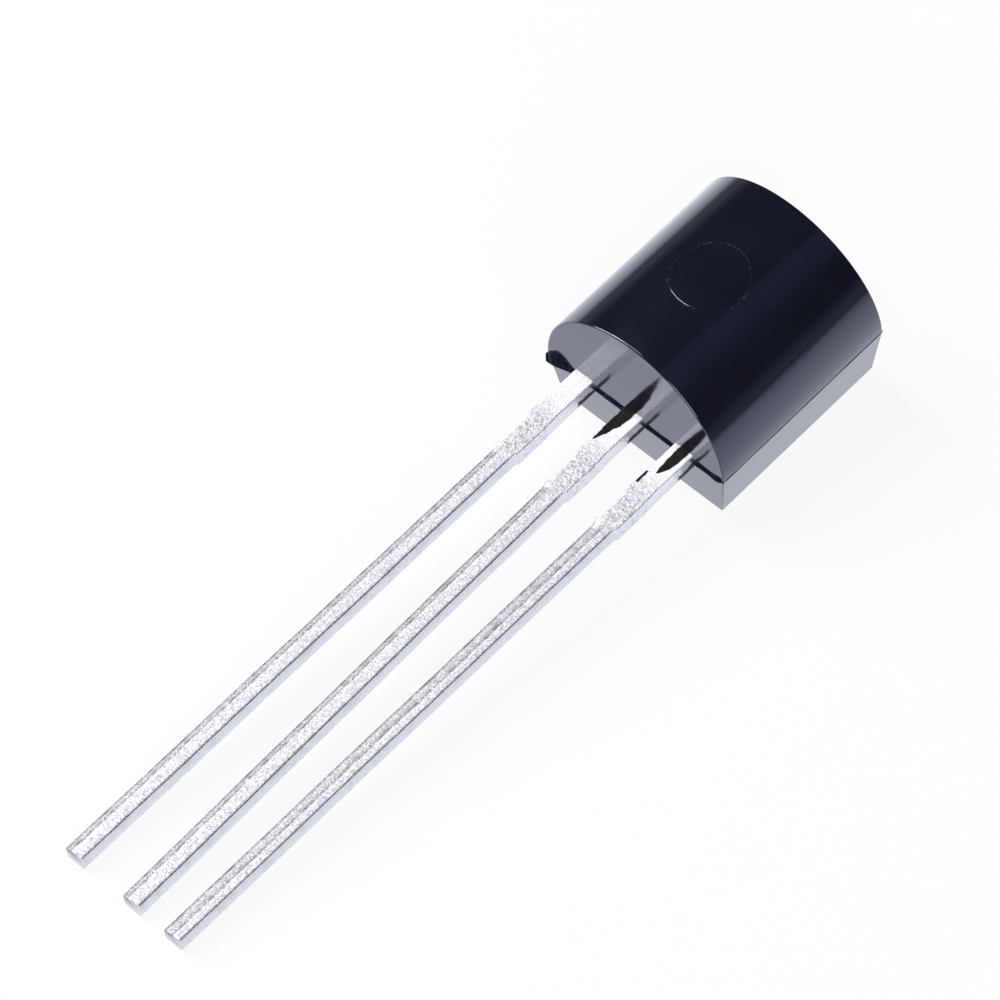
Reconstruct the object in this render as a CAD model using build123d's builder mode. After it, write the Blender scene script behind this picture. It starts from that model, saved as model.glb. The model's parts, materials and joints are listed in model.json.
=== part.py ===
"""Three-lead temperature sensor in a moulded epoxy package, lying on its flat face.

Millimetres, +Z up. The part rests as it would on a bench: on the lead-side edge of its flat face and
on its three lead tips. Everything is placed in the package's own directions: x across the leads,
y from the lead side towards the top of the body, z from the flat face towards the round back, with
z = 0 in the middle of the lead sheet, which is also where the two mould halves meet.
"""

import os
from math import atan2, cos, degrees, sin

from build123d import *

os.makedirs("parts", exist_ok=True)

# Moulded body
body_width = 4.5
body_height = 4.5
back_rise = 2.28  # crest of the round back above the parting plane
flat_depth = 1.3  # flat face below the parting plane
front_side_inset = 0.19  # mould draft of the front half, at its sides
front_end_inset = 0.11  # and at its two ends
back_end_inset = 0.07  # draft of the two half-round ends, at the crest
edge_radius = 0.06

# Ring left by the mould's ejector pin on the round back
ejector_diameter = 1.56
ejector_height = 2.22  # its centre, from the lead side
ejector_groove_width = 0.03
ejector_groove_depth = 0.02

# Leads, stamped from one sheet
lead_pitch = 1.27
lead_width = 0.42
sheet_thickness = 0.38
lead_length = 13.6
neck_width = 0.46  # between the body and the trimmed dam bar
dam_start = 1.35  # the dam bar joined the leads here, before it was punched away
dam_length = 0.8
dam_punch_shift = 0.04  # the punch ran a little to one side of each lead
lead_edge_radius = 0.04
lead_lean = {"lead_left": 0.01, "lead_centre": 0.21, "lead_right": -0.01}  # at the tips

# Bond posts and paddle inside the body
post_width = 0.95
post_height = 0.9
post_start = 0.9  # from the lead side of the body
paddle_width = 2.1
paddle_height = 1.6
paddle_gap = 0.2  # between the posts and the paddle
pad_corner_radius = 0.12

# Chip, its adhesive and its wires
die_width = 1.2
die_height = 1.0
die_thickness = 0.25
attach_thickness = 0.03
attach_margin = 0.06  # adhesive squeezed out round the chip
wire_radius = 0.0125
bond_radius = 0.035
bond_height = 0.015
wire_rise = 0.3  # height of the loop's control points above each bond
bond_pad_spacing = 0.38
bond_pad_margin = 0.14  # from the chip's lower edge

# How it comes to rest: the edge of the flat face and the lead tips both touch z = 0
rest_run = lead_length + front_end_inset
rest_drop = flat_depth - sheet_thickness / 2
rest_tilt = atan2(rest_drop, rest_run)
edge_lift = flat_depth * cos(rest_tilt) - front_end_inset * sin(rest_tilt)
tip_reach = lead_length * cos(rest_tilt) - sheet_thickness / 2 * sin(rest_tilt)
top_reach = body_height * cos(rest_tilt)
package_shift = (tip_reach - top_reach) / 2

package = Plane(Location((0, package_shift, edge_lift), (degrees(rest_tilt), 0, 0)))


def at(x=0, y=0, z=0, turn=(0, 0, 0)):
    """Give the plane at a place and turn measured in the package's own directions."""
    return Plane(package.location * Location((x, y, z), turn))


def save(part, name):
    """Label a finished piece and write it to its own file."""
    part.label = name
    export_step(part, f"parts/{name}.step")


# ---------------------------------------------------------------- leads
lead_x = {"lead_left": -lead_pitch, "lead_centre": 0, "lead_right": lead_pitch}
dam_end = dam_start + dam_length
paddle_start = post_start + post_height + paddle_gap


def neck_outline(x, inner_end):
    """Draw one lead's neck in the sheet, and the trimmed dam bar that ends it."""
    with Locations((x, (inner_end - dam_start) / 2)):
        Rectangle(neck_width, inner_end + dam_start)
    with Locations((x + dam_punch_shift, -dam_start - dam_length / 2)):
        Rectangle(lead_width, dam_length)


def inner_pad(x, start, width, height):
    """Draw the widened end of a lead inside the body."""
    with Locations((x, start + height / 2)):
        RectangleRounded(width, height, pad_corner_radius)


def make_lead(name):
    """Stamp one lead, with its bond post or, on the centre lead, the paddle."""
    x = lead_x[name]
    with BuildPart() as lead:
        with BuildSketch(at(z=-sheet_thickness / 2)):
            if name == "lead_centre":
                neck_outline(x, paddle_start + pad_corner_radius)
                inner_pad(x, paddle_start, paddle_width, paddle_height)
            else:
                neck_outline(x, post_start + pad_corner_radius)
                inner_pad(x, post_start, post_width, post_height)
        extrude(amount=sheet_thickness)
        # The shank has rolled edges, and leans a little towards its tip
        for shank_x, y in ((x, -dam_end), (x + lead_lean[name], -lead_length)):
            with BuildSketch(at(shank_x, y, turn=(90, 0, 0))):
                RectangleRounded(lead_width, sheet_thickness, lead_edge_radius)
        loft(ruled=True)
    save(lead.part, name)
    return lead.part


leads = {name: make_lead(name) for name in lead_x}

# ---------------------------------------------------------------- chip and adhesive
sheet_top = sheet_thickness / 2
die_base = sheet_top + attach_thickness
die_top = die_base + die_thickness
die_y = paddle_start + paddle_height / 2

with BuildPart() as die_attach:
    with BuildSketch(at(0, die_y, sheet_top)):
        RectangleRounded(die_width + 2 * attach_margin, die_height + 2 * attach_margin, attach_margin)
    extrude(amount=attach_thickness)
save(die_attach.part, "die_attach")

with BuildPart() as sensor_die:
    with BuildSketch(at(0, die_y, die_base)):
        Rectangle(die_width, die_height)
    extrude(amount=die_thickness)
save(sensor_die.part, "sensor_die")

# ---------------------------------------------------------------- bond wires
bond_pad_y = die_y - die_height / 2 + bond_pad_margin
post_y = post_start + post_height / 2


def make_wire(name, chip_x, landing_x):
    """Loop one wire from its ball on the chip to its bond on a lead."""
    chip_bond = (chip_x, bond_pad_y, die_top + bond_height)
    lead_bond = (landing_x, post_y, sheet_top + bond_height)
    with BuildPart() as wire:
        for x, y, z in (chip_bond, lead_bond):
            with BuildSketch(at(x, y, z)):
                Circle(bond_radius)
            extrude(amount=-bond_height)
        with BuildLine(package) as loop:
            Bezier(
                chip_bond,
                (chip_x, bond_pad_y, chip_bond[2] + wire_rise),
                (landing_x, post_y, chip_bond[2] + wire_rise),
                lead_bond,
            )
        with BuildSketch(at(*chip_bond)):
            Circle(wire_radius)
        sweep(path=loop.wires()[0], is_frenet=True)
    save(wire.part, name)
    return wire.part


post_landing = lead_pitch - post_width / 4
wires = [
    make_wire("bond_wire_left", -bond_pad_spacing, -post_landing),
    make_wire("bond_wire_centre", 0, 0),
    make_wire("bond_wire_right", bond_pad_spacing, post_landing),
]

# ---------------------------------------------------------------- moulded body
back_end_draft = degrees(atan2(back_end_inset, back_rise))


def back_section(drop=0):
    """Draw the half-round section, or one that lies `drop` inside it."""
    half = body_width / 2 - drop
    with BuildSketch(at(turn=(90, 0, 0))) as section:
        with BuildLine():
            ThreePointArc((-half, 0), (0, back_rise - drop), (half, 0))
            Line((half, 0), (-half, 0))
        make_face()
    return section.sketch


with BuildPart() as ejector_ring:
    with BuildSketch(at(0, ejector_height, 0)):
        Circle(ejector_diameter / 2)
        Circle(ejector_diameter / 2 - ejector_groove_width, mode=Mode.SUBTRACT)
    extrude(amount=2 * back_rise)
    extrude(back_section(drop=ejector_groove_depth), amount=-body_height, mode=Mode.SUBTRACT)

with BuildPart() as moulded_body:
    # Back half: half round, with its two ends drafted
    extrude(back_section(), amount=-body_height)
    split(bisect_by=at(turn=(90 - back_end_draft, 0, 0)), keep=Keep.BOTTOM)
    split(bisect_by=at(y=body_height, turn=(back_end_draft - 90, 0, 0)), keep=Keep.BOTTOM)
    # Front half: a shallow block that draws in towards the flat face
    with BuildSketch(at(y=body_height / 2)):
        Rectangle(body_width, body_height)
    with BuildSketch(at(y=body_height / 2, z=-flat_depth)):
        Rectangle(body_width - 2 * front_side_inset, body_height - 2 * front_end_inset)
    loft(ruled=True)
    flat_face = moulded_body.faces().sort_by(Axis((0, 0, 0), package.z_dir))[0]
    fillet(flat_face.edges(), radius=edge_radius)
    add(ejector_ring.part, mode=Mode.SUBTRACT)
    # Everything inside was moulded in, so it fills its own cavity
    for piece in [*leads.values(), die_attach.part, sensor_die.part, *wires]:
        add(piece, mode=Mode.SUBTRACT)
save(moulded_body.part, "moulded_body")
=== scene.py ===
"""Looks of the three-lead moulded temperature sensor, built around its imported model.

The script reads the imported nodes, stands a detailed mesh for the moulding and for each lead, gives the
sealed pieces their own finishes, and sets the floor, the light and the camera. Lengths are millimetres
in the package's own directions until PackageFrame turns them into the row's metres.
"""

import json
import logging
import math
from collections.abc import Sequence
from dataclasses import dataclass
from enum import Enum

import bmesh
import bpy
from mathutils import Matrix, Vector, noise

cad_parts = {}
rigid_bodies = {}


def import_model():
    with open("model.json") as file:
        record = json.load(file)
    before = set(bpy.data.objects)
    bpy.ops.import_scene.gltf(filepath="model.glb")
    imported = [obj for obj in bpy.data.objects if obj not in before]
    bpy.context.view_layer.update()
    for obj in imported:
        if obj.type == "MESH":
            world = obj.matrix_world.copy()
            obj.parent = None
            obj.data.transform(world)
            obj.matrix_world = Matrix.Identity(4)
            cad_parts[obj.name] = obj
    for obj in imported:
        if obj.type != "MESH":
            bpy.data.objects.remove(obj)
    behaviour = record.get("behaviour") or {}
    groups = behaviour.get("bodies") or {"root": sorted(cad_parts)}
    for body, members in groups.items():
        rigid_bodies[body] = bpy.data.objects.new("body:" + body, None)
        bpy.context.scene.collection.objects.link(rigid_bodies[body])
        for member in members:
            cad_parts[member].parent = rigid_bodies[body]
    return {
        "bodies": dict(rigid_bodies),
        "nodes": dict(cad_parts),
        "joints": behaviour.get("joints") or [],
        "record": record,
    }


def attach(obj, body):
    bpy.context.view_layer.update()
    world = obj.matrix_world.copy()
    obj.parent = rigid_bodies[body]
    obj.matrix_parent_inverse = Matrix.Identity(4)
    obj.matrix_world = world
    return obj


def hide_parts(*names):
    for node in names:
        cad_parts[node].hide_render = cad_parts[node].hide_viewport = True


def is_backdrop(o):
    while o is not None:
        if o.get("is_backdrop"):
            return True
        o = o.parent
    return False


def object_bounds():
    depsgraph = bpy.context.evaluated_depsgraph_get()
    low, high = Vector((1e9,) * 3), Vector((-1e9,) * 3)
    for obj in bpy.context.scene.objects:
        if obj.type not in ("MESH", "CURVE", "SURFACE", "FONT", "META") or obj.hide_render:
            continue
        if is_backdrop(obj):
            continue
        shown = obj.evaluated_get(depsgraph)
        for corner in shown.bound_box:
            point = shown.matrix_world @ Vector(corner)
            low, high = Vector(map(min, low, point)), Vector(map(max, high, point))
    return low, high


LOG = logging.getLogger("sensor")
MM = 0.001
MEASURES = ("across", "up", "along", "top", "rub_and_edge_shade")

Socket = bpy.types.NodeSocket
Number = Socket | float
Colour = Socket | tuple[float, float, float, float]


class Lead(Enum):
    """The three leads, by the name of their node."""

    LEFT = "lead_left"
    CENTRE = "lead_centre"
    RIGHT = "lead_right"


class Finish(Enum):
    """The record's material slots."""

    MOULDING = "moulding"
    LEAD = "lead"
    DIE = "die"
    ATTACH = "attach"
    WIRE = "wire"


# ---------------------------------------------------------------- the package's own frame
@dataclass(frozen=True)
class PackageSizes:
    """Sizes of the moulded package in millimetres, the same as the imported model's."""

    body_width: float = 4.5
    body_height: float = 4.5
    back_rise: float = 2.28
    flat_depth: float = 1.3
    front_side_inset: float = 0.19
    front_end_inset: float = 0.11
    back_end_inset: float = 0.07
    ejector_diameter: float = 1.56
    ejector_height: float = 2.22
    lead_pitch: float = 1.27
    lead_width: float = 0.42
    neck_width: float = 0.46
    sheet_thickness: float = 0.38
    lead_length: float = 13.6
    dam_start: float = 1.35
    dam_length: float = 0.8
    dam_punch_shift: float = 0.04
    post_width: float = 0.95
    post_height: float = 0.9
    post_start: float = 0.9
    paddle_width: float = 2.1
    paddle_height: float = 1.6
    paddle_gap: float = 0.2


@dataclass(frozen=True)
class PackageFrame:
    """The package's own directions, as it lies in the row frame."""

    matrix: Matrix

    @classmethod
    def from_record(cls, record: dict, sizes: PackageSizes) -> "PackageFrame":
        """Read how the package lies from the record's mount on its flat face.

        Args:
            record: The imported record.
            sizes: The package's sizes.

        Returns:
            The frame whose origin is where the centre lead leaves the body.
        """
        flat = next(mount for mount in record["mounts"] if mount["name"] == "flat_face")
        up = -Vector(flat["axis"]).normalized()
        across = Vector((1.0, 0.0, 0.0))
        along = up.cross(across)
        middle = Vector(flat["pos_m"])
        origin = middle - along * sizes.body_height / 2 * MM + up * sizes.flat_depth * MM
        columns = Matrix((across, along, up)).transposed().to_4x4()
        return cls(Matrix.Translation(origin) @ columns @ Matrix.Scale(MM, 4))

    def point(self, x: float, y: float, z: float) -> Vector:
        """Turn a place in the package, in millimetres, into the row's metres.

        Args:
            x: Across the leads.
            y: From the lead side towards the top of the body.
            z: From the middle of the lead sheet towards the round back.

        Returns:
            The place in the row frame.
        """
        return self.matrix @ Vector((x, y, z))


# ---------------------------------------------------------------- node helpers
def linear(hex_colour: str) -> tuple[float, float, float, float]:
    """Turn an sRGB hex colour into linear RGBA.

    Args:
        hex_colour: Six hex digits.

    Returns:
        Linear red, green, blue and an alpha of 1.
    """
    channels = [int(hex_colour[i : i + 2], 16) / 255 for i in (0, 2, 4)]
    values = [c / 12.92 if c <= 0.04045 else ((c + 0.055) / 1.055) ** 2.4 for c in channels]
    return (*values, 1.0)


@dataclass
class NodeSheet:
    """A material's or the world's node tree, with one short way to add to it."""

    tree: bpy.types.NodeTree

    def add(self, kind: str, inputs: dict | None = None, **settings: object) -> bpy.types.Node:
        """Add a node, set its properties, and set or link its inputs.

        Args:
            kind: The node's type name.
            inputs: Input name or index to a value, or to the socket that feeds it.
            **settings: Properties of the node itself.

        Returns:
            The new node.
        """
        node = self.tree.nodes.new(kind)
        for name, value in settings.items():
            setattr(node, name, value)
        for name, value in (inputs or {}).items():
            if isinstance(value, Socket):
                self.tree.links.new(value, node.inputs[name])
            else:
                node.inputs[name].default_value = value
        return node

    def math(self, operation: str, *values: Number, clamp: bool = False) -> Socket:
        """Add one sum.

        Args:
            operation: The Math node's operation.
            *values: Its numbers or sockets, in order.
            clamp: Whether the result is kept between 0 and 1.

        Returns:
            The result's socket.
        """
        inputs = dict(enumerate(values))
        return self.add("ShaderNodeMath", inputs, operation=operation, use_clamp=clamp).outputs[0]

    def ramp(self, value: Number, low: float, high: float) -> Socket:
        """Map a value smoothly from 0 at low to 1 at high; low may be the larger.

        Args:
            value: The socket to map.
            low: The value that gives 0.
            high: The value that gives 1.

        Returns:
            The result's socket.
        """
        inputs = {"Value": value, "From Min": low, "From Max": high}
        node = self.add("ShaderNodeMapRange", inputs, interpolation_type="SMOOTHSTEP")
        return node.outputs["Result"]

    def mix(self, factor: Number, first: Colour, second: Colour) -> Socket:
        """Mix two colours.

        Args:
            factor: 0 gives the first colour and 1 the second.
            first: A colour or its socket.
            second: A colour or its socket.

        Returns:
            The mixed colour's socket.
        """
        inputs = {0: factor, 6: first, 7: second}
        return self.add("ShaderNodeMix", inputs, data_type="RGBA").outputs[2]


def new_material(name: str) -> tuple[bpy.types.Material, NodeSheet, bpy.types.Node]:
    """Make a material that holds a bare Principled shader.

    Args:
        name: The material's name.

    Returns:
        The material, its node sheet and its shader.
    """
    material = bpy.data.materials.new(name)
    material.use_nodes = True
    sheet = NodeSheet(material.node_tree)
    return material, sheet, material.node_tree.nodes["Principled BSDF"]


def millimetres(sheet: NodeSheet) -> Socket:
    """Give a point's place in the row frame in millimetres, so that pattern scales read as 1/mm."""
    place = sheet.add("ShaderNodeTexCoord").outputs["Object"]
    return sheet.add("ShaderNodeVectorMath", {0: place, "Scale": 1 / MM}, operation="SCALE").outputs[0]


def grain(sheet: NodeSheet, place: Socket, size: float, detail: float = 2.0) -> Socket:
    """Add noise of a given size in millimetres.

    Args:
        sheet: The material's nodes.
        place: The socket with the point's place in millimetres.
        size: How large one bump of the noise is.
        detail: How many finer layers it has.

    Returns:
        The noise value's socket.
    """
    inputs = {"Vector": place, "Scale": 1 / size, "Detail": detail}
    return sheet.add("ShaderNodeTexNoise", inputs).outputs["Fac"]


def bump(sheet: NodeSheet, height: Socket, depth: float, under: Socket | None = None) -> Socket:
    """Add a bump.

    Args:
        sheet: The material's nodes.
        height: The socket with the height, about 0 to 1.
        depth: How deep a height of 1 is, in millimetres.
        under: The normal that it adds to.

    Returns:
        The normal's socket.
    """
    inputs = {"Height": height, "Distance": depth * MM}
    if under is not None:
        inputs["Normal"] = under
    return sheet.add("ShaderNodeBump", inputs).outputs["Normal"]


# ---------------------------------------------------------------- finishes
# Black novolac epoxy filled with fused silica, transfer-moulded in a polished cavity. A thin skin of
# release wax lies on it and adds a second gloss.
@dataclass(frozen=True)
class MouldedEpoxy:
    """Glossy black moulding compound with the cavity's fine texture and the ejector pin's ring."""

    colour: str = "13141d"
    pale_colour: str = "1b1d29"
    nick_colour: str = "767b88"
    sheen_colour: str = "b0c2ff"
    roughness: float = 0.13
    ior: float = 1.6
    wax_cover: float = 1.0
    wax_roughness: float = 0.08
    wax_ior: float = 1.5
    flow_size: float = 0.9
    pit_size: float = 0.02
    pit_depth: float = 0.0004
    speck_size: float = 0.3
    speck_radius: float = 0.012
    ring_width: float = 0.026
    ring_depth: float = 0.0022

    def build(self, sizes: PackageSizes, frame: PackageFrame) -> bpy.types.Material:
        """Make the material.

        Args:
            sizes: The package's sizes, for the ejector pin's ring.
            frame: Where the package lies.

        Returns:
            The material.
        """
        material, sheet, shader = new_material("moulded_epoxy_gloss")
        place = millimetres(sheet)
        flow = grain(sheet, place, self.flow_size, 3.0)
        pits = grain(sheet, place, self.pit_size, 4.0)
        haze = sheet.math("MULTIPLY_ADD", flow, 0.06, self.roughness - 0.03)
        ring = self.ring_mask(sheet, place, sizes, frame)
        broken = sheet.ramp(grain(sheet, place, 0.06, 3.0), 0.54, 0.72)
        nick = sheet.math("MULTIPLY", sheet.math("MULTIPLY", ring, broken), 0.35)
        marks = sheet.math("MAXIMUM", nick, self.speck_mask(sheet, place))
        black = sheet.mix(flow, linear(self.colour), linear(self.pale_colour))
        texture = bump(sheet, pits, self.pit_depth)
        groove = bump(sheet, sheet.math("SUBTRACT", 1.0, ring), self.ring_depth, texture)
        shader.inputs["IOR"].default_value = self.ior
        shader.inputs["Specular Tint"].default_value = linear(self.sheen_colour)
        shader.inputs["Coat Weight"].default_value = self.wax_cover
        shader.inputs["Coat IOR"].default_value = self.wax_ior
        shader.inputs["Coat Roughness"].default_value = self.wax_roughness
        links = sheet.tree.links
        links.new(sheet.mix(marks, black, linear(self.nick_colour)), shader.inputs["Base Color"])
        links.new(sheet.math("MULTIPLY_ADD", ring, 0.06, haze), shader.inputs["Roughness"])
        links.new(groove, shader.inputs["Normal"])
        links.new(groove, shader.inputs["Coat Normal"])
        return material

    def speck_mask(self, sheet: NodeSheet, place: Socket) -> Socket:
        """Mark the few pale filler specks that show at the surface.

        Args:
            sheet: The material's nodes.
            place: The point's place in millimetres.

        Returns:
            A socket that is above 0 on the specks and 0 elsewhere.
        """
        inputs = {"Vector": place, "Scale": 1 / self.speck_size}
        cells = sheet.add("ShaderNodeTexVoronoi", inputs).outputs["Distance"]
        radius = self.speck_radius / self.speck_size
        return sheet.math("MULTIPLY", sheet.ramp(cells, radius, radius * 0.4), 0.25)

    def ring_mask(
        self, sheet: NodeSheet, place: Socket, sizes: PackageSizes, frame: PackageFrame
    ) -> Socket:
        """Mark the ring that the mould's ejector pin leaves on the round back.

        Args:
            sheet: The material's nodes.
            place: The point's place in millimetres.
            sizes: The package's sizes.
            frame: Where the package lies.

        Returns:
            A socket that is 1 on the ring and 0 elsewhere.
        """
        centre = frame.point(0.0, sizes.ejector_height, sizes.back_rise) / MM
        up = frame.matrix.to_3x3().col[2].normalized()
        offset = sheet.add("ShaderNodeVectorMath", {0: place, 1: centre}, operation="SUBTRACT").outputs[0]
        rise = sheet.add("ShaderNodeVectorMath", {0: offset, 1: up}, operation="DOT_PRODUCT").outputs["Value"]
        length = sheet.add("ShaderNodeVectorMath", {0: offset}, operation="LENGTH").outputs["Value"]
        rise_squared = sheet.math("MULTIPLY", rise, rise)
        squared = sheet.math("SUBTRACT", sheet.math("MULTIPLY", length, length), rise_squared)
        radius = sheet.math("SQRT", sheet.math("MAXIMUM", squared, 0.0))
        wander = sheet.math("MULTIPLY_ADD", grain(sheet, place, 0.35, 1.0), 0.02, -0.01)
        uneven = sheet.math("ADD", radius, wander)
        miss = sheet.math("ABSOLUTE", sheet.math("SUBTRACT", uneven, sizes.ejector_diameter / 2))
        band = sheet.ramp(miss, self.ring_width, self.ring_width * 0.3)
        return sheet.math("MULTIPLY", band, sheet.ramp(rise, -0.9, -0.6))


@dataclass(frozen=True)
class Stain:
    """A film of cured resin that crept along a lead's top face from the body.

    Places are millimetres: across from the lead's middle, and along from the body.
    """

    across: float
    start: float
    end: float
    half_width: float
    narrowing: float = 0.0
    drift: float = 0.0
    power: float = 2.0
    raggedness: float = 0.05


# Copper strip, stamped and then plated with matte tin: a dull silver that is full of small crystals,
# burnished darker where the tools and its neighbours rubbed it. Shade is painted darker along its crease
# and rolled edge, and in the resin's colour low on its side by the body.
@dataclass(frozen=True)
class TinPlate:
    """Matte tin plate with its crystals, scuffs and dents, the resin that crept along it, and painted shade
    along its edges and low on its side.
    """

    stains: tuple[Stain, ...] = ()
    colour: str = "f6f6f8"
    dull_colour: str = "cacace"
    # The colour of scuffs, torn dam stubs, and the shade painted along the crease and rolled edge.
    worn_and_shade_colour: str = "757478"
    # The resin stains' colour, also used for the shade painted low on the lead's side by the body.
    resin_and_shade_colour: str = "120e0f"
    crystal_size: float = 0.028
    fleck_size: float = 0.022
    smear_size: float = 0.24
    dent_size: float = 0.16
    roughness: float = 0.6
    sheared_roughness: float = 0.2
    rough_start: float = 1.15
    rough_end: float = 2.35
    # How far from the body the painted shade on the lead's side reaches.
    contact_shade_length: float = 0.5

    def build(self, name: str) -> bpy.types.Material:
        """Make the material for one lead.

        Args:
            name: The material's name.

        Returns:
            The material.
        """
        material, sheet, shader = new_material(name)
        place = millimetres(sheet)
        along = self.attribute(sheet, "along")
        rub_and_edge_shade = self.attribute(sheet, "rub_and_edge_shade")
        crystal_inputs = {"Vector": place, "Scale": 1 / self.crystal_size}
        crystals = sheet.add("ShaderNodeTexVoronoi", crystal_inputs)
        tone = sheet.add("ShaderNodeSeparateColor", {0: crystals.outputs["Color"]}).outputs[0]
        flecks = grain(sheet, place, self.fleck_size, 3.0)
        smears = sheet.ramp(grain(sheet, place, self.smear_size, 3.0), 0.48, 0.62)
        dents = grain(sheet, place, self.dent_size, 3.0)
        top = self.attribute(sheet, "top")
        past_neck = sheet.math("MULTIPLY_ADD", sheet.ramp(along, 0.7, 1.2), 0.75, 0.25)
        rough_part = sheet.ramp(along, self.rough_start, self.rough_start + 0.25)
        trimmed = sheet.math("MULTIPLY", rough_part, sheet.ramp(along, self.rough_end, self.rough_end - 0.3))
        coarse = sheet.ramp(grain(sheet, place, 0.08, 5.0), 0.48, 0.66)
        faint = sheet.math("MULTIPLY", past_neck, 0.4)
        scuffs = sheet.math("MULTIPLY", sheet.ramp(flecks, 0.54, 0.74), faint)
        # Darker along the crease and the rolled edge: painted shade there, broken a little by rubbing.
        rubbed_and_edge_shaded = sheet.math("MULTIPLY", rub_and_edge_shade, sheet.math("MAXIMUM", sheet.ramp(flecks, 0.3, 0.6), smears))
        torn = sheet.math("MULTIPLY", sheet.math("MULTIPLY", trimmed, coarse), 0.35)
        worn_and_shaded = sheet.math("MAXIMUM", sheet.math("MAXIMUM", scuffs, rubbed_and_edge_shaded), torn)
        mottle = sheet.math("MULTIPLY", tone, sheet.math("MULTIPLY", past_neck, top))
        tin = sheet.mix(mottle, linear(self.colour), linear(self.dull_colour))
        tin = sheet.mix(worn_and_shaded, tin, linear(self.worn_and_shade_colour))
        # Painted shade low on the lead's side by the body, joined with the real resin stains and sharing
        # their colour.
        contact_shade = self.painted_contact_shade_mask(sheet, place, along)
        resin_and_shade = sheet.math("MAXIMUM", self.stain_mask(sheet, place, along), contact_shade)
        normal = bump(sheet, tone, 0.0012)
        normal = bump(sheet, flecks, 0.0025, normal)
        normal = bump(sheet, dents, 0.008, normal)
        normal = bump(sheet, sheet.math("MULTIPLY", coarse, trimmed), 0.003, normal)
        extra = self.roughness - self.sheared_roughness
        dulled = sheet.math("MULTIPLY_ADD", top, extra, self.sheared_roughness)
        rough = sheet.math("MULTIPLY_ADD", tone, 0.1, dulled)
        links = sheet.tree.links
        links.new(sheet.mix(resin_and_shade, tin, linear(self.resin_and_shade_colour)), shader.inputs["Base Color"])
        links.new(sheet.math("SUBTRACT", 1.0, resin_and_shade), shader.inputs["Metallic"])
        links.new(sheet.math("MULTIPLY_ADD", resin_and_shade, -0.25, rough), shader.inputs["Roughness"])
        links.new(sheet.math("MULTIPLY_ADD", resin_and_shade, -0.35, 0.5), shader.inputs["Specular IOR Level"])
        links.new(normal, shader.inputs["Normal"])
        return material

    def attribute(self, sheet: NodeSheet, name: str) -> Socket:
        """Read one of the numbers that the lead's mesh carries.

        Args:
            sheet: The material's nodes.
            name: The number's name.

        Returns:
            Its socket.
        """
        return sheet.add("ShaderNodeAttribute", attribute_name=name).outputs["Fac"]

    def stain_mask(self, sheet: NodeSheet, place: Socket, along: Socket) -> Socket:
        """Mark where resin covers the top face.

        Args:
            sheet: The material's nodes.
            place: The point's place in millimetres.
            along: Its distance from the body.

        Returns:
            A socket that is 1 on the resin and 0 on the tin.
        """
        across = self.attribute(sheet, "across")
        noise_value = grain(sheet, place, 0.2, 3.0)
        cover = sheet.math("MULTIPLY", 0.0, along)
        for stain in self.stains:
            ragged = sheet.math("MULTIPLY_ADD", noise_value, stain.raggedness * 2, -stain.raggedness)
            distance = sheet.math("SUBTRACT", along, stain.start)
            share = sheet.math("DIVIDE", distance, stain.end - stain.start)
            late = sheet.math("POWER", sheet.math("MAXIMUM", share, 0.0), stain.power)
            half = sheet.math("MULTIPLY_ADD", late, -stain.narrowing, stain.half_width)
            middle = sheet.math("MULTIPLY_ADD", late, stain.drift, stain.across)
            miss = sheet.math("ABSOLUTE", sheet.math("SUBTRACT", across, middle))
            side = sheet.math("SUBTRACT", half, sheet.math("ADD", miss, ragged))
            behind = sheet.math("SUBTRACT", distance, ragged)
            ahead = sheet.math("SUBTRACT", stain.end - stain.start, sheet.math("ADD", distance, ragged))
            inside = sheet.math("MINIMUM", side, sheet.math("MINIMUM", ahead, behind))
            cover = sheet.math("MAXIMUM", cover, sheet.ramp(inside, -0.006, 0.014))
        return sheet.math("MULTIPLY", cover, self.attribute(sheet, "top"))

    def painted_contact_shade_mask(self, sheet: NodeSheet, place: Socket, along: Socket) -> Socket:
        """Paint shade low on the lead's right side near the body, in the resin's dark colour, where the end
        face meets it.

        Args:
            sheet: The material's nodes.
            place: The point's place in millimetres.
            along: Its distance from the body.

        Returns:
            A socket that is 1 where the shade is painted and 0 on the tin.
        """
        ragged = sheet.math("MULTIPLY_ADD", grain(sheet, place, 0.12, 3.0), 0.16, -0.08)
        near = sheet.ramp(sheet.math("ADD", along, ragged), self.contact_shade_length, self.contact_shade_length - 0.1)
        low = sheet.ramp(sheet.math("ADD", self.attribute(sheet, "up"), ragged), 0.0, -0.06)
        outer = sheet.ramp(self.attribute(sheet, "across"), 0.15, 0.19)
        return sheet.math("MULTIPLY", near, sheet.math("MULTIPLY", low, outer))


@dataclass(frozen=True)
class InnerFinish:
    """A finish for a sealed piece: its colour is broken up by fine noise at a real size."""

    name: str
    colour: str
    other_colour: str
    metallic: float
    roughness: float
    size: float
    depth: float

    def build(self) -> bpy.types.Material:
        """Make the material.

        Returns:
            The material.
        """
        material, sheet, shader = new_material(self.name)
        place = millimetres(sheet)
        mottle = grain(sheet, place, self.size, 4.0)
        links = sheet.tree.links
        shader.inputs["Metallic"].default_value = self.metallic
        colour = sheet.mix(mottle, linear(self.colour), linear(self.other_colour))
        links.new(colour, shader.inputs["Base Color"])
        links.new(sheet.math("MULTIPLY_ADD", mottle, 0.1, self.roughness - 0.05), shader.inputs["Roughness"])
        links.new(bump(sheet, mottle, self.depth), shader.inputs["Normal"])
        return material


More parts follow.
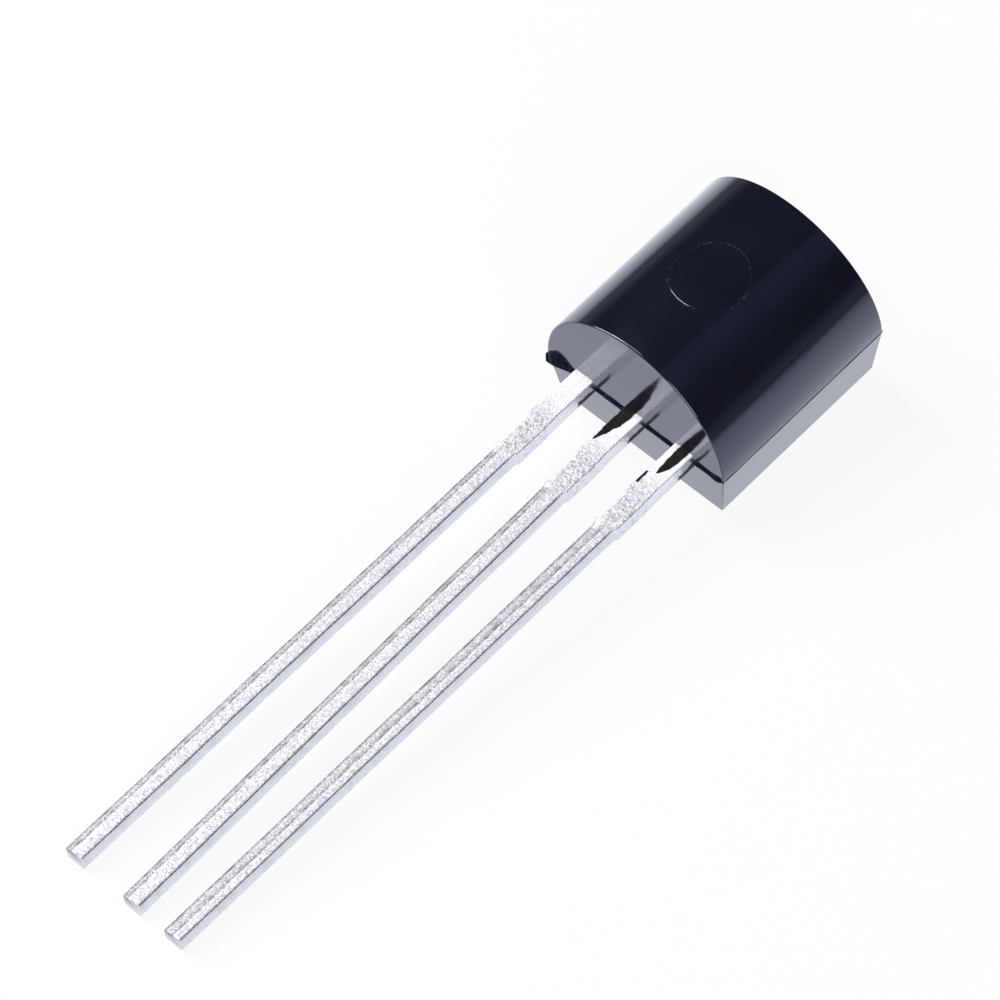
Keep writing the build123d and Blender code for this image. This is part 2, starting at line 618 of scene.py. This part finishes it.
# Polished silicon is a grey half-metal mirror; the adhesive is a dull paste of silver flakes in epoxy;
# the wires are drawn gold.
INNER_FINISHES: dict[str, InnerFinish] = {
    Finish.DIE.value: InnerFinish("polished_silicon", "4a4d58", "5c5f6d", 0.8, 0.15, 0.08, 0.0003),
    Finish.ATTACH.value: InnerFinish("cured_silver_epoxy", "b9b8b2", "8f8e8a", 0.6, 0.55, 0.03, 0.003),
    Finish.WIRE.value: InnerFinish("drawn_gold", "e9b95c", "dca94c", 1.0, 0.25, 0.01, 0.0002),
}


# ---------------------------------------------------------------- mesh helpers
def new_piece(
    name: str, mesh: bpy.types.Mesh, material: bpy.types.Material
) -> bpy.types.Object:
    """Put a finished mesh in the scene as a piece of the object.

    Args:
        name: The piece's name.
        mesh: Its mesh, in the row frame.
        material: What it is made of.

    Returns:
        The new object.
    """
    piece = bpy.data.objects.new(name, mesh)
    bpy.context.scene.collection.objects.link(piece)
    mesh.materials.append(material)
    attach(piece, "root")
    return piece


def apply_modifiers(piece: bpy.types.Object) -> None:
    """Replace a piece's mesh with what its modifiers make of it.

    Args:
        piece: The piece.
    """
    graph = bpy.context.evaluated_depsgraph_get()
    solved = bpy.data.meshes.new_from_object(piece.evaluated_get(graph))
    piece.modifiers.clear()
    piece.data = solved


# ---------------------------------------------------------------- moulding
@dataclass(frozen=True)
class FlashRun:
    """One side of the parting line: where its flash runs, how wide it is, and its blot at the start."""

    start: tuple[float, float]
    stop: tuple[float, float]
    outward: tuple[float, float]
    size: float
    blot: float = 0.0


@dataclass
class Moulding:
    """The one-shot epoxy body: a half-round back and a drafted front that meet at the parting line."""

    sizes: PackageSizes
    frame: PackageFrame
    arc_steps: int = 96
    edge_radius: float = 0.035
    parting_radius: float = 0.018
    flash_height: float = 0.05
    flash_reach: float = 0.05

    def build(self, material: bpy.types.Material) -> bpy.types.Object:
        """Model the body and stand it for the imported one.

        Args:
            material: The moulded epoxy.

        Returns:
            The body.
        """
        mesh = bpy.data.meshes.new("moulding")
        form = bmesh.new()
        weight = form.edges.layers.float.new("bevel_weight_edge")
        self.add_back(form, weight)
        self.add_front(form, weight)
        form.to_mesh(mesh)
        form.free()
        piece = new_piece("moulding", mesh, material)
        self.round_edges(piece)
        self.add_flash(piece)
        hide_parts("moulded_body")
        return piece

    def half_round(self) -> list[tuple[float, float]]:
        """Give the back's outline as (x, z) points of one arc, from the left edge to the right."""
        half = self.sizes.body_width / 2
        radius = (half**2 + self.sizes.back_rise**2) / (2 * self.sizes.back_rise)
        centre = self.sizes.back_rise - radius
        reach = math.acos(-centre / radius)
        angles = [reach - 2 * reach * i / self.arc_steps for i in range(self.arc_steps + 1)]
        return [(-radius * math.sin(a), centre + radius * math.cos(a)) for a in angles]

    def add_back(self, form: bmesh.types.BMesh, weight: bmesh.types.BMLayerItem) -> None:
        """Add the half-round back, whose two ends lean in towards the crest.

        Args:
            form: The mesh being built.
            weight: Its bevel-weight layer.
        """
        sizes = self.sizes
        ends: list[list[bmesh.types.BMVert]] = [[], []]
        for x, z in self.half_round():
            inset = sizes.back_end_inset * z / sizes.back_rise
            for end, y in zip(ends, (inset, sizes.body_height - inset)):
                end.append(form.verts.new(self.frame.point(x, y, z)))
        self.close_prism(form, weight, ends, parting_edges=(len(ends[0]) - 1,))

    def add_front(self, form: bmesh.types.BMesh, weight: bmesh.types.BMLayerItem) -> None:
        """Add the front, which draws in from the parting line to the flat face.

        Args:
            form: The mesh being built.
            weight: Its bevel-weight layer.
        """
        sizes = self.sizes
        half = sizes.body_width / 2
        narrow = half - sizes.front_side_inset
        outline = [(half, 0.0), (narrow, -sizes.flat_depth), (-narrow, -sizes.flat_depth), (-half, 0.0)]
        ends: list[list[bmesh.types.BMVert]] = [[], []]
        for x, z in outline:
            inset = -sizes.front_end_inset * z / sizes.flat_depth
            for end, y in zip(ends, (inset, sizes.body_height - inset)):
                end.append(form.verts.new(self.frame.point(x, y, z)))
        self.close_prism(form, weight, ends, parting_edges=(len(outline) - 1,))

    def close_prism(
        self,
        form: bmesh.types.BMesh,
        weight: bmesh.types.BMLayerItem,
        ends: list[list[bmesh.types.BMVert]],
        parting_edges: Sequence[int],
    ) -> None:
        """Close two matching outlines with sides and caps, and weigh the edges that get rounded.

        Args:
            form: The mesh being built.
            weight: Its bevel-weight layer.
            ends: The two outlines' vertices, in order.
            parting_edges: Which sides lie in the parting plane.
        """
        count = len(ends[0])
        fine = self.parting_radius / self.edge_radius
        for i in range(count):
            j = (i + 1) % count
            form.faces.new((ends[0][i], ends[0][j], ends[1][j], ends[1][i]))
        form.faces.new(list(reversed(ends[0])))
        form.faces.new(ends[1])
        bmesh.ops.recalc_face_normals(form, faces=form.faces[:])
        form.edges.ensure_lookup_table()
        for end in ends:
            for i in range(count):
                edge = form.edges.get((end[i], end[(i + 1) % count]))
                edge[weight] = fine if i in parting_edges else 1.0
        for i in range(count):
            edge = form.edges.get((ends[0][i], ends[1][i]))
            turn = edge.calc_face_angle(0.0)
            beside_parting = i in parting_edges or (i - 1) % count in parting_edges
            if turn > math.radians(20):
                edge[weight] = fine if beside_parting else 1.0

    def round_edges(self, piece: bpy.types.Object) -> None:
        """Round the mould's arrises and keep the flat faces flat in the light.

        Args:
            piece: The body.
        """
        bevel = piece.modifiers.new("arris", "BEVEL")
        bevel.width = self.edge_radius * MM
        bevel.segments = 4
        bevel.limit_method = "WEIGHT"
        bevel.use_clamp_overlap = False
        piece.data.shade_smooth()
        piece.modifiers.new("flats", "WEIGHTED_NORMAL").keep_sharp = True
        apply_modifiers(piece)

    def add_flash(self, piece: bpy.types.Object) -> None:
        """Add the thin ledge of flash that stands on the parting line, widest on the lead side.

        Args:
            piece: The body.
        """
        form = bmesh.new()
        form.from_mesh(piece.data)
        half = self.sizes.body_width / 2
        height = self.sizes.body_height
        runs = (
            FlashRun((-half, 0.0), (half, 0.0), (0.0, -1.0), 1.0, 2.2),
            FlashRun((half, 0.0), (half, height), (1.0, 0.0), 0.16),
            FlashRun((-half, height), (-half, 0.0), (-1.0, 0.0), 0.16),
            FlashRun((half, height), (-half, height), (0.0, 1.0), 0.16),
        )
        for run in runs:
            self.add_ledge(form, run)
        form.to_mesh(piece.data)
        form.free()

    def add_ledge(self, form: bmesh.types.BMesh, run: FlashRun) -> None:
        """Add one straight, slightly uneven ledge in the parting plane.

        Args:
            form: The mesh being built.
            run: Where it runs and how wide it is.
        """
        steps = 240
        rooted = 0.01
        profile = ((-rooted, 1.0), (0.9, 0.9), (1.0, 0.5), (0.6, -0.4), (-rooted, -1.0))
        outward = Vector(run.outward)
        previous: list[bmesh.types.BMVert] = []
        for i in range(steps + 1):
            share = i / steps
            place = Vector(run.start).lerp(Vector(run.stop), share)
            uneven = 1 + 0.4 * noise.noise(Vector((place.x * 2.6, place.y * 2.6, run.size)))
            blot = 1 + run.blot * math.exp(-((share / 0.12) ** 4))
            end_fade = min(1.0, 30 * share + 0.3, 30 * (1 - share) + 0.3)
            reach = self.flash_reach * run.size * uneven * end_fade * blot
            half_height = self.flash_height * run.size * uneven / 2
            row = []
            for out, up in profile:
                spot = place + outward * (reach * out if out > 0 else out)
                row.append(form.verts.new(self.frame.point(spot.x, spot.y, half_height * up)))
            for k in range(len(profile) - 1 if previous else 0):
                form.faces.new((previous[k], previous[k + 1], row[k + 1], row[k]))
            previous = row


# ---------------------------------------------------------------- leads
@dataclass(frozen=True)
class LeadShape:
    """How one lead differs from the others, in millimetres."""

    lean: float
    roll_share: float
    roll_drop: float
    seed: float
    inner_start: float
    inner_width: float
    inner_height: float
    stains: tuple[Stain, ...] = ()


@dataclass(frozen=True)
class RimPoint:
    """A point of a lead's section: across, up, whether it is on the top face, and how much rubbing and
    painted edge shade it gets.
    """

    across: float
    up: float
    top: bool = False
    rub_and_edge_shade: float = 0.0


@dataclass
class LeadPiece:
    """One stamped and tinned lead, from its end inside the body to its cut tip."""

    name: Lead
    x: float
    shape: LeadShape
    sizes: PackageSizes
    frame: PackageFrame
    step: float = 0.025
    corner: float = 0.035
    buried: float = 0.3

    def build(self, material: bpy.types.Material) -> bpy.types.Object:
        """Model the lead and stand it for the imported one.

        Args:
            material: The tin plating.

        Returns:
            The lead.
        """
        form = bmesh.new()
        layers = {name: form.verts.layers.float.new(name) for name in MEASURES}
        length = self.sizes.lead_length + self.buried
        count = round(length / self.step)
        rows = [self.add_row(form, layers, i * length / count - self.buried) for i in range(count + 1)]
        rows.extend(self.round_tip(form, layers))
        for before, after in zip(rows, rows[1:]):
            for k, vert in enumerate(before):
                n = (k + 1) % len(before)
                form.faces.new((vert, before[n], after[n], after[k])).smooth = True
        form.faces.new(rows[-1])
        form.faces.new(list(reversed(rows[0])))
        self.add_inner_end(form)
        bmesh.ops.recalc_face_normals(form, faces=form.faces[:])
        mesh = bpy.data.meshes.new(self.name.value.replace("lead", "tinned_lead"))
        form.to_mesh(mesh)
        form.free()
        piece = new_piece(mesh.name, mesh, material)
        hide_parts(self.name.value)
        return piece

    def wobble(self, along: float, size: float, channel: float) -> float:
        """Give smooth, repeatable unevenness between about -1 and 1.

        Args:
            along: Distance from the body.
            size: How long one wave is.
            channel: Which of the lead's patterns to read.

        Returns:
            The unevenness there.
        """
        return noise.noise(Vector((along / size, self.shape.seed * 7.3, channel * 3.7)))

    def middle(self, along: float) -> tuple[float, float]:
        """Give the lead's middle across and up from the sheet, at a distance from the body.

        Args:
            along: Distance from the body.

        Returns:
            Its x, with the lean and the punch's side step, and its z.
        """
        sizes = self.sizes
        dam_end = sizes.dam_start + sizes.dam_length
        share = max(0.0, along - dam_end) / (sizes.lead_length - dam_end)
        in_dam = sizes.dam_start < along < dam_end
        side_step = sizes.dam_punch_shift if in_dam else 0.0
        drift = 0.012 * self.wobble(along, 2.5, 1.0) * min(1.0, max(0.0, along) / 3)
        return self.x + self.shape.lean * share + side_step + drift, 0.3 * drift

    def width(self, along: float) -> float:
        """Give the lead's width at a distance from the body.

        Args:
            along: Distance from the body.

        Returns:
            The width, with the neck's flare before the trimmed dam bar.
        """
        sizes = self.sizes
        base = sizes.neck_width if along < sizes.dam_start else sizes.lead_width
        flare = 0.03 * math.exp(-(((along - sizes.dam_start + 0.12) / 0.12) ** 2))
        return base + flare + 0.008 * self.wobble(along, 0.5, 2.0)

    def add_row(
        self,
        form: bmesh.types.BMesh,
        layers: dict[str, bmesh.types.BMLayerItem],
        along: float,
        shrink: float = 0.0,
    ) -> list[bmesh.types.BMVert]:
        """Add one section of the lead.

        Args:
            form: The mesh being built.
            layers: Its vertex layers.
            along: Distance from the body.
            shrink: How far the section is drawn in, at the tip.

        Returns:
            The section's vertices, in order.
        """
        x, z = self.middle(along)
        dam = self.sizes.dam_start
        lumpiness = 0.016 if dam - 0.2 < along < dam + 1.1 else 0.006
        verts = []
        for rim in self.section(along, shrink):
            place = Vector((rim.across * 14, along * 14, rim.up * 14 + self.shape.seed))
            swell = 1 + lumpiness * noise.noise(place)
            vert = form.verts.new(self.frame.point(x + rim.across * swell, -along, z + rim.up * swell))
            vert[layers["across"]] = rim.across
            vert[layers["up"]] = rim.up
            vert[layers["along"]] = along
            vert[layers["top"]] = float(rim.top)
            vert[layers["rub_and_edge_shade"]] = rim.rub_and_edge_shade
            verts.append(vert)
        return verts

    def section(self, along: float, shrink: float) -> list[RimPoint]:
        """Draw the lead's section: a rounded rectangle whose top is rolled down along its left edge.

        Args:
            along: Distance from the body.
            shrink: How far it is drawn in.

        Returns:
            Its points, anticlockwise from the lower left.
        """
        half = self.width(along) / 2 - shrink
        rise = self.sizes.sheet_thickness / 2 - shrink
        dam_end = self.sizes.dam_start + self.sizes.dam_length
        rolled = min(1.0, max(0.0, (along - dam_end + 0.05) / 0.25))
        left = -half - 0.022 * math.exp(-(((along - dam_end - 0.02) / 0.035) ** 2))
        low = rise - self.shape.roll_drop * rolled
        crease = -half + 2 * half * self.shape.roll_share + 0.014 * self.wobble(along, 0.35, 3.0)
        radius = self.corner - 0.012 * (1 - rolled)
        lift = 0.006 * rolled
        valley = rise - 0.008 * rolled
        inner = half - radius
        outer = left + radius
        valley_left = crease - 0.014
        # Each point's last number weighs the painted edge shade and rubbing; it is highest on the crease and
        # the rolled edge.
        points = [RimPoint(a, u, rub_and_edge_shade=0.2) for a, u in self.corner_points(-half, -rise, 180.0, radius)]
        points += [RimPoint(a, u, rub_and_edge_shade=0.2) for a, u in self.corner_points(half, -rise, 270.0, radius)]
        for a, u in self.corner_points(half, rise, 0.0, radius):
            points.append(RimPoint(a, u, u > rise - 0.01, 0.35 * rolled))
        for share in (0.12, 0.5, 0.88):
            points.append(RimPoint(inner + (crease + 0.02 - inner) * share, rise + lift * share, True))
        points.append(RimPoint(crease + 0.01, rise + lift * 0.4, True, 0.3 * rolled))
        points.append(RimPoint(crease, valley, True, rolled))
        points.append(RimPoint(valley_left, rise - 0.005 * rolled, True, 0.8 * rolled))
        for share in (0.35, 0.75):
            up = rise + (low - rise) * share
            rub_and_edge_shade = (0.7 - 0.5 * share) * rolled
            points.append(RimPoint(valley_left + (outer - valley_left) * share, up, True, rub_and_edge_shade))
        for a, u in self.corner_points(left, low, 90.0, radius + 0.01 * rolled):
            points.append(RimPoint(a, u, u > low - 0.01, 0.9 * rolled))
        return points

    def corner_points(
        self, across: float, up: float, start: float, radius: float
    ) -> list[tuple[float, float]]:
        """Round one corner of the section.

        Args:
            across: The sharp corner's place across.
            up: Its place up.
            start: The angle that the rounding starts at, in degrees; it turns through a right angle.
            radius: Its radius.

        Returns:
            Its points, going round the section anticlockwise.
        """
        facing = math.radians(start + 45)
        centre_across = across - math.copysign(radius, math.cos(facing))
        centre_up = up - math.copysign(radius, math.sin(facing))
        angles = [math.radians(start + 90 * i / 4) for i in range(5)]
        return [(centre_across + radius * math.cos(a), centre_up + radius * math.sin(a)) for a in angles]

    def round_tip(
        self, form: bmesh.types.BMesh, layers: dict[str, bmesh.types.BMLayerItem]
    ) -> list[list[bmesh.types.BMVert]]:
        """Break the sharp edge of the cut tip.

        Args:
            form: The mesh being built.
            layers: Its vertex layers.

        Returns:
            The sections that close it.
        """
        rows = []
        for i in range(1, 5):
            angle = math.radians(90 * i / 4)
            inset = 0.8 * self.corner * (1 - math.cos(angle))
            rows.append(self.add_row(form, layers, self.sizes.lead_length + 1e-4 * i, inset))
        return rows

    def add_inner_end(self, form: bmesh.types.BMesh) -> None:
        """Add the sheet inside the body: the neck, and the bond post or paddle that it widens to.

        Args:
            form: The mesh being built.
        """
        shape = self.shape
        neck = self.sizes.neck_width / 2
        wide = shape.inner_width / 2
        top = shape.inner_start + shape.inner_height
        outline = (
            (-neck, 0.1),
            (neck, 0.1),
            (neck, shape.inner_start),
            (wide, shape.inner_start),
            (wide, top),
            (-wide, top),
            (-wide, shape.inner_start),
            (-neck, shape.inner_start),
        )
        half = self.sizes.sheet_thickness / 2 * 0.999
        lower = [form.verts.new(self.frame.point(self.x + x, y, -half)) for x, y in outline]
        upper = [form.verts.new(self.frame.point(self.x + x, y, half)) for x, y in outline]
        for i in range(len(outline)):
            j = (i + 1) % len(outline)
            form.faces.new((lower[i], lower[j], upper[j], upper[i]))
        form.faces.new(list(reversed(lower)))
        form.faces.new(upper)


def lead_shapes(sizes: PackageSizes) -> dict[Lead, LeadShape]:
    """Give each lead its own lean, rolled edge, resin stains and inner end.

    Args:
        sizes: The package's sizes.

    Returns:
        The shapes by lead.
    """
    post = (sizes.post_start, sizes.post_width, sizes.post_height)
    paddle_start = sizes.post_start + sizes.post_height + sizes.paddle_gap
    paddle = (paddle_start, sizes.paddle_width, sizes.paddle_height)
    centre_stain = Stain(-0.09, -0.1, 0.98, half_width=0.15, narrowing=0.14, drift=-0.1)
    right_stain = Stain(0.02, -0.05, 0.74, 0.12, narrowing=0.12, drift=-0.06, power=4.0, raggedness=0.03)
    right_sliver = Stain(-0.2, 0.78, 1.1, half_width=0.035, raggedness=0.03)
    return {
        Lead.LEFT: LeadShape(0.01, 0.35, 0.045, 1.0, *post),
        Lead.CENTRE: LeadShape(0.21, 0.33, 0.045, 2.0, *paddle, stains=(centre_stain,)),
        Lead.RIGHT: LeadShape(-0.01, 0.56, 0.06, 3.0, *post, stains=(right_stain, right_sliver)),
    }


# ---------------------------------------------------------------- studio
@dataclass(frozen=True)
class SoftLamp:
    """A rectangular soft lamp that looks at the object; its width lies across the leads."""

    name: str
    direction: tuple[float, float, float]
    distance: float
    width: float
    depth: float
    radiance: float
    colour: str = "ffffff"

    def add(self, target: Vector) -> None:
        """Put the lamp in the scene.

        Args:
            target: What it looks at.
        """
        data = bpy.data.lights.new(self.name, "AREA")
        data.shape = "RECTANGLE"
        data.size = self.width
        data.size_y = self.depth
        data.energy = self.radiance * math.pi * self.width * self.depth
        data.color = linear(self.colour)[:3]
        lamp = bpy.data.objects.new(self.name, data)
        bpy.context.scene.collection.objects.link(lamp)
        away = Vector(self.direction).normalized()
        side = Vector((0.0, 1.0, 0.0)).cross(away).normalized()
        turned = Matrix((side, away.cross(side), away)).transposed().to_4x4()
        lamp.matrix_world = Matrix.Translation(target + away * self.distance) @ turned


@dataclass(frozen=True)
class Studio:
    """A pale table under a plain soft light, with a dark ceiling and a pale horizon."""

    floor_half: float = 0.3
    floor_share: float = 0.9
    mirrored_floor_share: float = 1.0
    mirrored_reach: tuple[float, float] = (8.0, 45.0)
    mirrored_fade: float = 0.85
    mirrored_colour: str = "f1f4fd"
    horizon: str = "6e737f"
    ceiling: str = "191b25"
    dark_from: float = 0.26
    card: str = "4c5569"
    lamps: tuple[SoftLamp, ...] = (
        SoftLamp("overhead_strip", (-0.5, -0.06, 0.86), 0.3, 0.2, 0.07, 9.0),
        SoftLamp("left_lamp", (-1.0, -0.35, 0.75), 0.3, 0.2, 0.2, 6.0, "f8f9ff"),
        SoftLamp("right_lamp", (0.9, -0.8, 0.8), 0.3, 0.2, 0.2, 4.0),
    )

    def build(self, target: Vector) -> None:
        """Set up the floor, the world and the lamps.

        Args:
            target: What the lamps look at.
        """
        self.add_floor()
        self.set_world()
        for lamp in self.lamps:
            lamp.add(target)

    def add_floor(self) -> None:
        """Lay the table and cover it with pale, faintly uneven card."""
        form = bmesh.new()
        corners = ((-1, -1), (1, -1), (1, 1), (-1, 1))
        form.faces.new([form.verts.new((x * self.floor_half, y * self.floor_half, 0.0)) for x, y in corners])
        mesh = bpy.data.meshes.new("table")
        form.to_mesh(mesh)
        form.free()
        table = bpy.data.objects.new("table", mesh)
        bpy.context.scene.collection.objects.link(table)
        # Uncoated white card: matt, with a faint unevenness from its fibres
        material, sheet, shader = new_material("uncoated_white_card")
        place = millimetres(sheet)
        fibres = grain(sheet, place, 1.5, 3.0)
        links = sheet.tree.links
        links.new(sheet.mix(fibres, linear("f3f3f3"), linear("f7f7f7")), shader.inputs["Base Color"])
        shader.inputs["Roughness"].default_value = 0.9
        shader.inputs["Specular IOR Level"].default_value = 0.0
        rays = sheet.add("ShaderNodeLightPath").outputs
        seen = sheet.math("MULTIPLY", rays["Is Camera Ray"], self.floor_share)
        away = sheet.add("ShaderNodeVectorMath", {0: place}, operation="LENGTH").outputs["Value"]
        fade = sheet.math("MULTIPLY_ADD", sheet.ramp(away, *self.mirrored_reach), -self.mirrored_fade, 1.0)
        mirrored = sheet.math("MULTIPLY", rays["Is Glossy Ray"], self.mirrored_floor_share)
        tint = sheet.mix(rays["Is Glossy Ray"], linear("ffffff"), linear(self.mirrored_colour))
        strength = sheet.mix(rays["Is Glossy Ray"], linear("ffffff"), fade)
        white = sheet.add("ShaderNodeEmission", {"Color": tint, "Strength": strength})
        inputs = {0: sheet.math("MAXIMUM", seen, mirrored), 1: shader.outputs[0], 2: white.outputs[0]}
        mixed = sheet.add("ShaderNodeMixShader", inputs)
        links.new(mixed.outputs[0], sheet.tree.nodes["Material Output"].inputs["Surface"])
        mesh.materials.append(material)
        table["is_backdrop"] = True

    def set_world(self) -> None:
        """Shade a dim room: a grey horizon, a dark ceiling with one dim card, and white behind the object."""
        world = bpy.data.worlds.new("studio")
        bpy.context.scene.world = world
        world.use_nodes = True
        sheet = NodeSheet(world.node_tree)
        background = sheet.tree.nodes["Background"]
        direction = sheet.add("ShaderNodeTexCoord").outputs["Generated"]
        parts = sheet.add("ShaderNodeSeparateXYZ", {0: direction}).outputs
        height = sheet.ramp(parts["Z"], 0.0, self.dark_from)
        room = sheet.mix(height, linear(self.horizon), linear(self.ceiling))
        near_edge = sheet.ramp(parts["X"], 0.16, 0.24)
        far_edge = sheet.ramp(parts["X"], 0.75, 0.4)
        card_width = sheet.math("MULTIPLY", near_edge, far_edge)
        card = sheet.math("MULTIPLY", card_width, sheet.ramp(parts["Z"], 0.45, 0.65))
        sky = sheet.mix(card, room, linear(self.card))
        camera = sheet.add("ShaderNodeLightPath").outputs["Is Camera Ray"]
        colour = sheet.mix(camera, sky, (1.0, 1.0, 1.0, 1.0))
        sheet.tree.links.new(colour, background.inputs["Color"])


@dataclass(frozen=True)
class Viewpoint:
    """A long lens that looks down on the object from its lead side."""

    azimuth: float = 44.59
    elevation: float = 54.52
    roll: float = -1.38
    distance: float = 0.11215
    lens: float = 213.7
    aim: tuple[float, float] = (-0.00119, 0.00208)

    def build(self) -> None:
        """Make the scene's camera."""
        data = bpy.data.cameras.new("long_lens")
        data.sensor_width = 36.0
        data.lens = self.lens
        data.clip_start = 0.001
        data.clip_end = 10.0
        camera = bpy.data.objects.new("long_lens", data)
        bpy.context.scene.collection.objects.link(camera)
        turn, rise = math.radians(self.azimuth), math.radians(self.elevation)
        away = Vector((math.sin(turn) * math.cos(rise), -math.cos(turn) * math.cos(rise), math.sin(rise)))
        aim = Vector((*self.aim, 0.0))
        roll = Matrix.Rotation(math.radians(self.roll), 4, "Z")
        facing = away.to_track_quat("Z", "Y").to_matrix().to_4x4()
        camera.matrix_world = Matrix.Translation(aim + away * self.distance) @ facing @ roll
        bpy.context.scene.camera = camera


# ---------------------------------------------------------------- the whole scene
def dress_inner_pieces(nodes: dict[str, bpy.types.Object]) -> None:
    """Give the chip, its adhesive and its wires their finishes.

    Args:
        nodes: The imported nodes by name.
    """
    made = {slot: finish.build() for slot, finish in INNER_FINISHES.items()}
    slots = {"sensor_die": Finish.DIE, "die_attach": Finish.ATTACH}
    slots.update({f"bond_wire_{side}": Finish.WIRE for side in ("left", "centre", "right")})
    for name, slot in slots.items():
        mesh = nodes[name].data
        mesh.materials.clear()
        mesh.materials.append(made[slot.value])


def main() -> None:
    """Build the scene in order: the object's pieces, then the studio and the camera."""
    logging.basicConfig(level=logging.INFO)
    noise.seed_set(1)
    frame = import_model()
    cad_box = [list(corner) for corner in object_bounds()]
    sizes = PackageSizes()
    package = PackageFrame.from_record(frame["record"], sizes)
    bpy.context.scene.view_settings.view_transform = "Standard"
    Moulding(sizes, package).build(MouldedEpoxy().build(sizes, package))
    offsets = {Lead.LEFT: -sizes.lead_pitch, Lead.CENTRE: 0.0, Lead.RIGHT: sizes.lead_pitch}
    for lead, shape in lead_shapes(sizes).items():
        tin = TinPlate(stains=shape.stains).build(lead.value.replace("lead", "matte_tin"))
        piece = LeadPiece(lead, offsets[lead], shape, sizes, package).build(tin)
        LOG.info("%s has %d faces", piece.name, len(piece.data.polygons))
    dress_inner_pieces(frame["nodes"])
    low, high = (Vector(corner) for corner in cad_box)
    Studio().build((low + high) / 2)
    Viewpoint().build()


if __name__ == "__main__":
    main()
